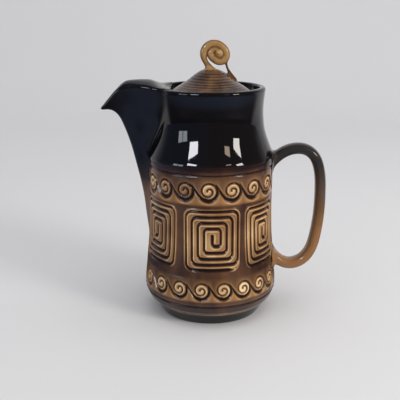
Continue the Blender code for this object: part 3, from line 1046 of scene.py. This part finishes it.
def make_lid():
    """The domed top with its turned ridges, the edge, the flange and the hollow underneath."""
    top = []
    ridges = []
    for radius in np.arange(0, LID_RADIUS - 1.2, 0.4):
        wave = 0.5 + 0.5 * math.cos(2 * math.pi * (radius - 15.0) / 2.7)
        share = float(ramp(radius, 9, 12) * (1 - ramp(radius, 25, 31)))
        top.append((float(radius), float(LID_TOP(radius)) - 0.22 * share * wave ** 2))
        ridges.append(0.56 - 0.34 * share * wave ** 2 - 0.16 * float(ramp(radius, 20, 34)))
    edge = [(LID_RADIUS - 0.7, 189.4), (LID_RADIUS - 0.15, 188.9), (LID_RADIUS, 188.3),
            (LID_RADIUS - 0.1, 187.8), (LID_RADIUS - 0.6, 187.4), (36, 187.3), (34.4, 187.3), (34, 186.8),
            (34, 175.2), (33.6, 174.3), (32.6, 174), (31.6, 174), (30.8, 174.4), (30.5, 175.2),
            (30.3, 186.5), (29, 190.0), (20, 196.8), (12, 201.6), (6, 204.6), (0, 205.6)]
    profile = np.array(top + edge)
    thin = np.array(ridges + [0.3] * len(edge))
    counts = np.array([240] * len(profile))
    counts[0] = counts[-1] = 1
    points = [turned_ring(radius, height, count) for (radius, height), count in zip(profile, counts)]
    make_piece("glazed_lid", np.concatenate(points), ring_faces(counts), None, lid_glaze(), "lid", ["lid"],
               {"thin": np.repeat(thin, counts)})


# The coil's strand and its thin tail in the XZ plane, with their radii
COIL = Path(((0.6, 207), (-1.6, 212.5), (-4.7, 217.2), (-6.1, 221), (-6.1, 225.2), (-3.0, 230.1),
             (3.4, 231.9), (9.4, 229.1), (12.6, 223.7), (11.4, 218.9), (7.2, 217.1), (2.4, 219.1),
             (-0.7, 223.6), (1.2, 226.9), (5.2, 227.2)),
            (3.6, 2.7, 2.2, 2.7, 3.0, 3.05, 3.0, 3.0, 3.0, 2.9, 2.9, 2.9, 2.9, 2.6, 2.1))
COIL_TAIL = Path(((11.4, 220), (12.3, 217), (13.2, 213), (15.4, 208.5), (17.8, 205), (20, 202.4)),
                 (0.7, 0.8, 0.9, 1.2, 1.5, 1.4))
COIL_BALL = np.array((6.9, 0.0, 224.3))
BALL_RADIUS = 3.2
# The clay left between the coil's inner turn and its ball
WEB_CENTRE = np.array((6.6, 0.0, 223.4))
WEB_RADIUS = 6.2
WEB_HALF = 1.3


def tube(path, points):
    """Distance to a round strand along a path in the XZ plane."""
    flat = points[:, (0, 2)]
    along, offset = path.nearest(flat)
    return np.sqrt((offset ** 2).sum(1) + points[:, 1] ** 2) - path.radius(along)


def finial_field(points):
    """Distance to the coil, its ball, the web between them and the tail, filleted to the lid."""
    coil = tube(COIL, points)
    tail = tube(COIL_TAIL, points)
    ball = np.linalg.norm(points - COIL_BALL, axis=1) - BALL_RADIUS
    from_web = points - WEB_CENTRE
    flat = np.hypot(from_web[:, 0], from_web[:, 2]) - WEB_RADIUS
    web = smooth_max(flat, np.abs(from_web[:, 1]) - WEB_HALF, 1.0)
    shape = smooth_min(smooth_min(coil, ball, 0.8), web, 0.8)
    shape = smooth_min(shape, tail, 1.6)
    radius = np.hypot(points[:, 0], points[:, 1])
    lid = (points[:, 2] - LID_TOP(radius)) * 0.88
    blend = smooth_min(shape, lid, 3.0)
    blend = np.maximum(blend, -(lid + 0.8))
    return np.maximum(blend, shape - 2.9) - 0.02


def make_finial():
    """The coiled knob and its tail, flowing into the lid."""
    points, quads, normals = skin(finial_field, (-14, -8, 190), (28, 8, 237), fine(0.4))
    # Painted light and shade: pale on the strand's front and back faces and on the ball, dark along its
    # edges and in the creases between its turns.
    front = ramp(np.abs(points[:, 1]) / 3.0, 0.1, 0.95)
    ball = 1 - ramp(np.linalg.norm(points - COIL_BALL, axis=1), BALL_RADIUS, BALL_RADIUS + 0.8)
    thin = 0.16 + 0.66 * np.maximum(front, 1.25 * ball)
    thin = 0.2 + (thin - 0.2) * ramp(points[:, 2], 203, 213)
    make_piece("glazed_finial", points, quads.tolist(), normals, finial_glaze(), "lid", ["finial"],
               {"thin": thin})


# ---------------------------------------------------------------- camera, light and floor

def place_camera():
    """In front of the pot, aimed a little down and a little left of it."""
    lens = bpy.data.cameras.new("camera")
    lens.lens = CAMERA_LENS
    lens.sensor_width = CAMERA_SENSOR
    camera = add_object("camera", lens)
    camera.location = (AXIS[0] * MM, -CAMERA_BACK, CAMERA_HEIGHT)
    camera.rotation_euler = (math.radians(90 - CAMERA_PITCH), 0, math.radians(CAMERA_YAW))
    bpy.context.scene.camera = camera


def panel_light(name, place, aim, size, power, colour=(1, 1, 1)):
    lamp = bpy.data.lights.new(name, "AREA")
    lamp.shape = "RECTANGLE"
    lamp.size, lamp.size_y = size
    lamp.energy = power
    lamp.color = colour
    light = add_object(name, lamp)
    light.location = place
    way = np.array(aim, float) - np.array(place, float)
    flat = math.hypot(way[0], way[1])
    light.rotation_euler = (math.atan2(flat, -way[2]), 0, math.atan2(way[1], way[0]) - math.pi / 2)
    return light


def window(name, side, rise, width, tall, glow, colour, lights_room):
    """A bright pane seen from the pot at the side and rise angles, in degrees, and as wide and tall."""
    far = 1.6
    middle = np.array((AXIS[0] * MM, 0.0, 0.14))
    turn, lift = math.radians(side), math.radians(rise)
    way = np.array((math.sin(turn) * math.cos(lift), -math.cos(turn) * math.cos(lift), math.sin(lift)))
    size = [2 * far * math.tan(math.radians(angle) / 2) for angle in (width, tall)]
    power = glow * math.pi * size[0] * size[1]
    pane = panel_light(name, middle + far * way, middle, size, power, colour)
    pane.visible_diffuse = lights_room


def floor_paint():
    """Pale paper; a glaze mirrors its front part as dim, brown close by and bluish further off or left."""
    paint, tree, shader = new_paint("backdrop_paper", 0.7)
    shader.inputs["Specular IOR Level"].default_value = 0.1
    place = position(tree)
    grain = noise(tree, place, 3.0)
    paper = mix(tree, grain, tone(230, 230, 231), tone(234, 234, 234))
    split = node(tree, "ShaderNodeSeparateXYZ")
    tree.links.new(place, split.inputs["Vector"])
    front = ramp_node(tree, split.outputs["Y"], 0.45, 0.10)
    reach = node(tree, "ShaderNodeVectorMath", operation="LENGTH")
    tree.links.new(place, reach.inputs[0])
    mirrored = node(tree, "ShaderNodeLightPath").outputs["Is Glossy Ray"]
    front = times(tree, front, ramp_node(tree, reach.outputs["Value"], 0.05, 0.14))
    share = times(tree, mirrored, front)
    away = reach.outputs["Value"]
    left = ramp_node(tree, split.outputs["X"], -0.1, -0.4)
    blue = math_node(tree, "MAXIMUM", left, ramp_node(tree, away, 0.34, 0.46))
    dim = mix(tree, blue, tone(62, 51, 44), tone(118, 136, 172))
    dim = mix(tree, ramp_node(tree, away, 0.46, 0.8), dim, tone(74, 72, 76))
    tree.links.new(mix(tree, share, paper, dim), shader.inputs["Base Color"])
    return paint


def make_floor():
    """A pale table that curves up into a plain backdrop."""
    flat = 0.9
    bend = 0.9
    profile = [(-2.5, 0.0), (flat, 0.0)]
    profile += arc_points(flat, bend, bend, np.linspace(-82.5, 0, 12))
    profile.append((flat + bend, 3.5))
    half = 3.0
    points = [(x, y, z) for x in (-half, half) for y, z in profile]
    count = len(profile)
    faces = [(i, i + count, i + count + 1, i + 1) for i in range(count - 1)]
    mesh = bpy.data.meshes.new("backdrop")
    mesh.from_pydata(points, [], faces)
    mesh.polygons.foreach_set("use_smooth", [True] * len(mesh.polygons))
    mesh.materials.append(floor_paint())
    add_object("backdrop", mesh)


def light_room():
    """Even pale light, two soft lights, and the windows, dim panes and small lamp that the glaze mirrors."""
    world = bpy.data.worlds.new("room")
    bpy.context.scene.world = world
    world.use_nodes = True
    tree = world.node_tree
    back = tree.nodes["Background"]
    way = node(tree, "ShaderNodeTexCoord").outputs["Generated"]
    split = node(tree, "ShaderNodeSeparateXYZ")
    tree.links.new(way, split.inputs["Vector"])
    behind = ramp_node(tree, split.outputs["Y"], 0.15, 0.7)
    side = ramp_node(tree, split.outputs["X"], 0.1, -0.5)
    dusk = mix(tree, side, tone(86, 76, 70), tone(78, 88, 108))
    room = mix(tree, behind, dusk, tone(190, 191, 196))
    path = node(tree, "ShaderNodeLightPath")
    even = math_node(tree, "MAXIMUM", path.outputs["Is Diffuse Ray"], path.outputs["Is Camera Ray"])
    tree.links.new(mix(tree, even, room, tone(203, 203, 206)), back.inputs["Color"])
    back.inputs["Strength"].default_value = 1.0
    window("left_window", -35, 24.6, 16, 8.2, 17.0, (0.93, 0.92, 1.0), False)
    window("right_window", 54, 19.7, 12.3, 11.5, 14.0, (1.0, 0.96, 0.90), True)
    window("pane_a", -65, 11.3, 9, 15.5, 4.5, (0.82, 0.90, 1.0), False)
    window("pane_b", -54.5, 11.3, 9, 15.5, 4.5, (0.82, 0.90, 1.0), False)
    window("lamp", 33.4, 27, 9, 3, 6.0, (1.0, 0.78, 0.6), False)
    top = panel_light("soft_top", (0.2, -0.1, 1.9), (0, 0, 0.1), (1.4, 1.4), 6.5)
    top.visible_glossy = False
    key = panel_light("soft_key", (1.25, -0.9, 0.62), (0, 0, 0.1), (0.5, 0.5), 7.5, (1.0, 0.97, 0.92))
    key.visible_glossy = False


def main():
    bpy.context.scene.view_settings.view_transform = "Standard"
    place_camera()
    make_floor()
    light_room()
    make_pot_body()
    make_spout()
    make_handle()
    make_lid()
    make_finial()


main()
